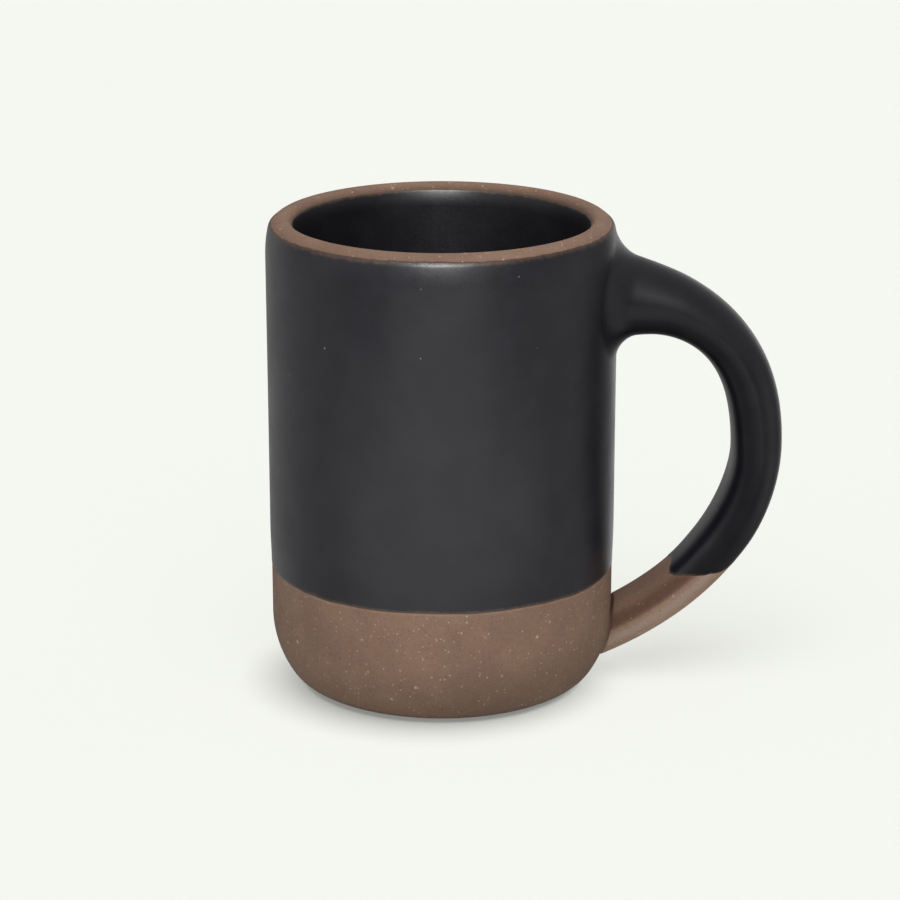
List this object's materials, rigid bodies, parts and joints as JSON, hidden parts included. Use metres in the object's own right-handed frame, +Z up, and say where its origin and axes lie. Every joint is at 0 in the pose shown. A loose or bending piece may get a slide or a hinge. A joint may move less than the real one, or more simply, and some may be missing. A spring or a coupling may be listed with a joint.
{
  "type": "ceramic mug",
  "caption": "Tall straight-sided stoneware mug with a curved side handle, rounded rim and foot ring, dark dipped glaze over bare brown clay.",
  "frame": {"origin": "centre of the foot ring, on the surface that the mug stands on", "axes": "+Z up along the cup's axis, +X from the cup's axis towards the handle"},
  "size_m": [0.1215, 0.082, 0.1125],
  "materials": {
    "bare_clay": "matt unglazed stoneware, warm brown with small pale flecks",
    "slip": "matt fired clay slip",
    "dark_glaze": "satin near-black glaze with a few pale specks"
  },
  "bodies": {
    "root": {"clay_cup": "bare_clay", "clay_handle": "bare_clay", "upper_slip_joint": "slip", "lower_slip_joint": "slip", "outer_glaze": "dark_glaze", "liner_glaze": "dark_glaze", "handle_glaze": "dark_glaze"}
  },
  "joints": []
}
